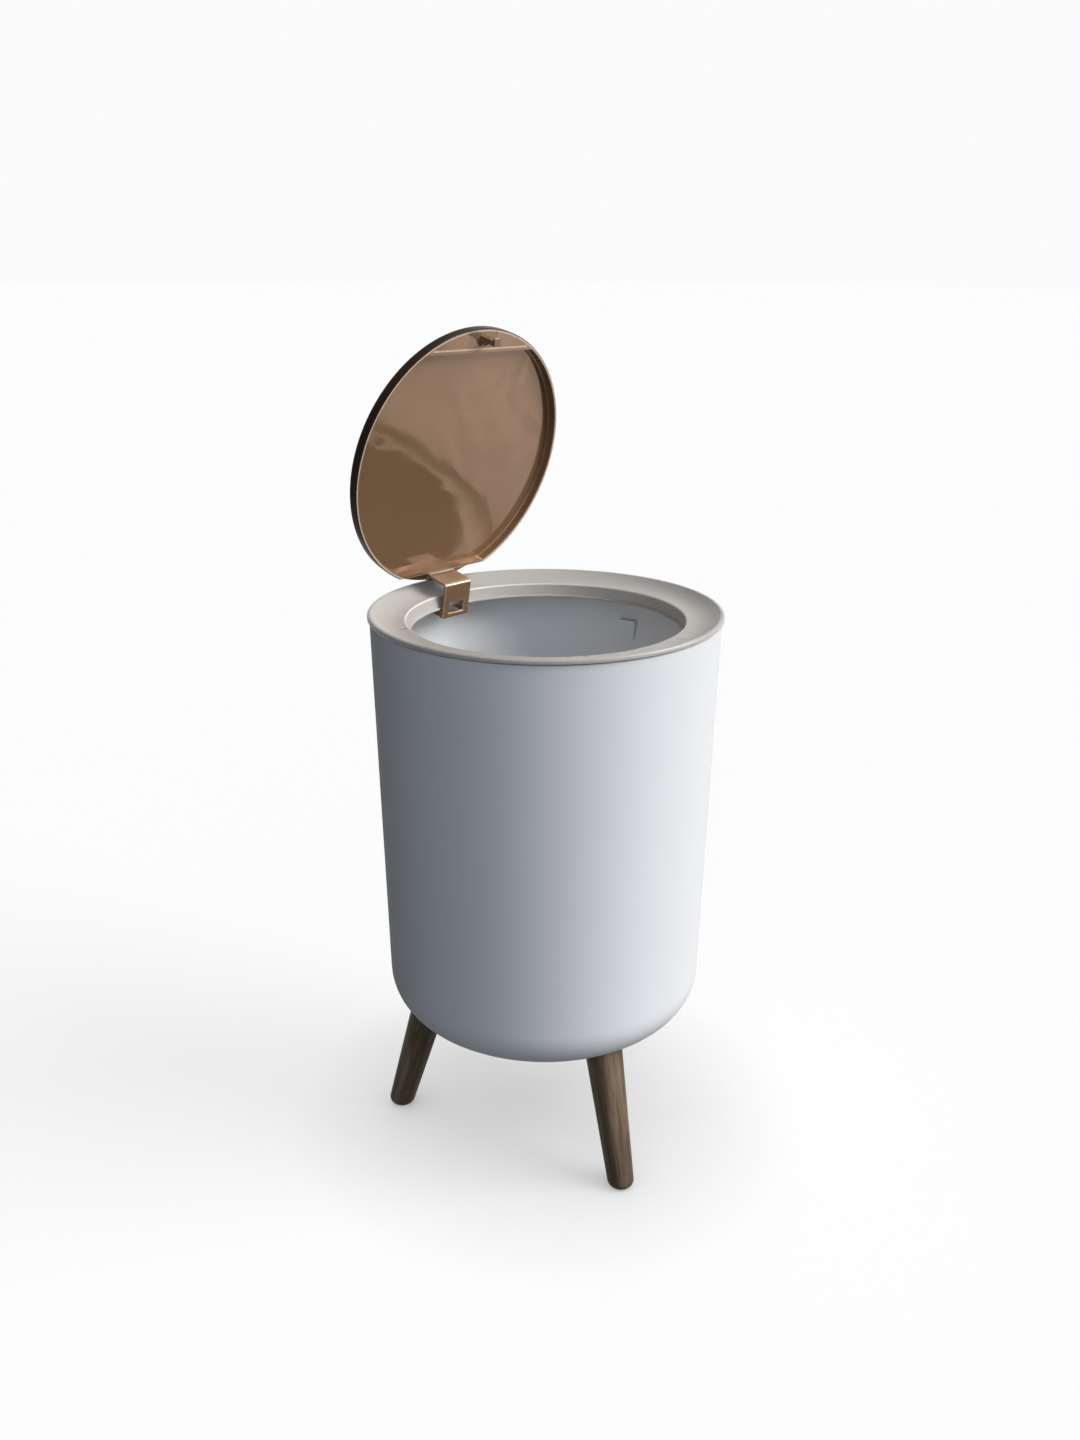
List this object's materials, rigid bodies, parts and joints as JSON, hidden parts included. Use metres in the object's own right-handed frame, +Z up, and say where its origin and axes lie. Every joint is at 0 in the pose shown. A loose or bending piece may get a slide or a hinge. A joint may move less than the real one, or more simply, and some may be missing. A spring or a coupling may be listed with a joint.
{
  "type": "waste bin",
  "caption": "Round free-standing waste bin on splayed wooden legs, with a lift-off ring and a sprung press-to-open lid on a gooseneck hinge.",
  "frame": {"origin": "on the floor under the barrel's axis", "axes": "+Z up along the barrel's axis, the lid's hinge at +Y, the latch and front at -Y"},
  "size_m": [0.24, 0.24, 0.5757],
  "materials": {
    "barrel_plastic": "fine matte moulded white",
    "ring_plastic": "satin warm light grey",
    "lid_plastic": "glossy bronze brown",
    "latch_plastic": "plain grey",
    "claw_plastic": "natural acetal",
    "leg_wood": "dark stained, open grain along the leg",
    "steel": "zinc plated",
    "brass": "turned"
  },
  "bodies": {
    "bin": {"barrel": "barrel_plastic", "leg_front": "leg_wood", "leg_right": "leg_wood", "leg_left": "leg_wood", "leg_studs": "steel", "leg_inserts": "brass"},
    "ring": {"press_ring": "ring_plastic", "hinge_pin": "steel", "hinge_pin_clip": "steel", "lid_spring": "steel", "latch_housing": "latch_plastic", "latch_pin": "steel", "latch_spring": "steel", "latch_screws": "steel"},
    "lid": {"lid": "lid_plastic", "lid_striker": "lid_plastic", "hinge_arm": "lid_plastic"},
    "claw": {"latch_claw": "claw_plastic"}
  },
  "joints": [
    {"name": "ring_lift", "type": "slide", "parent": "bin", "child": "ring", "axis": [0, 0, 1], "range_m": [0, 0.08]},
    {"name": "lid_hinge", "type": "hinge", "parent": "ring", "child": "lid", "pos_m": [0, 0.1067, 0.3816], "axis": [1, 0, 0], "range_deg": [0, 75.04], "stiffness_Nm_per_rad": 0.06, "springref_deg": -57.3, "deforming": ["lid_spring"]},
    {"name": "claw_pivot", "type": "hinge", "parent": "ring", "child": "claw", "pos_m": [0, -0.0961, 0.363], "axis": [1, 0, 0], "range_deg": [-16, 0], "stiffness_Nm_per_rad": 0.01, "springref_deg": 17.19, "deforming": ["latch_spring"]}
  ]
}
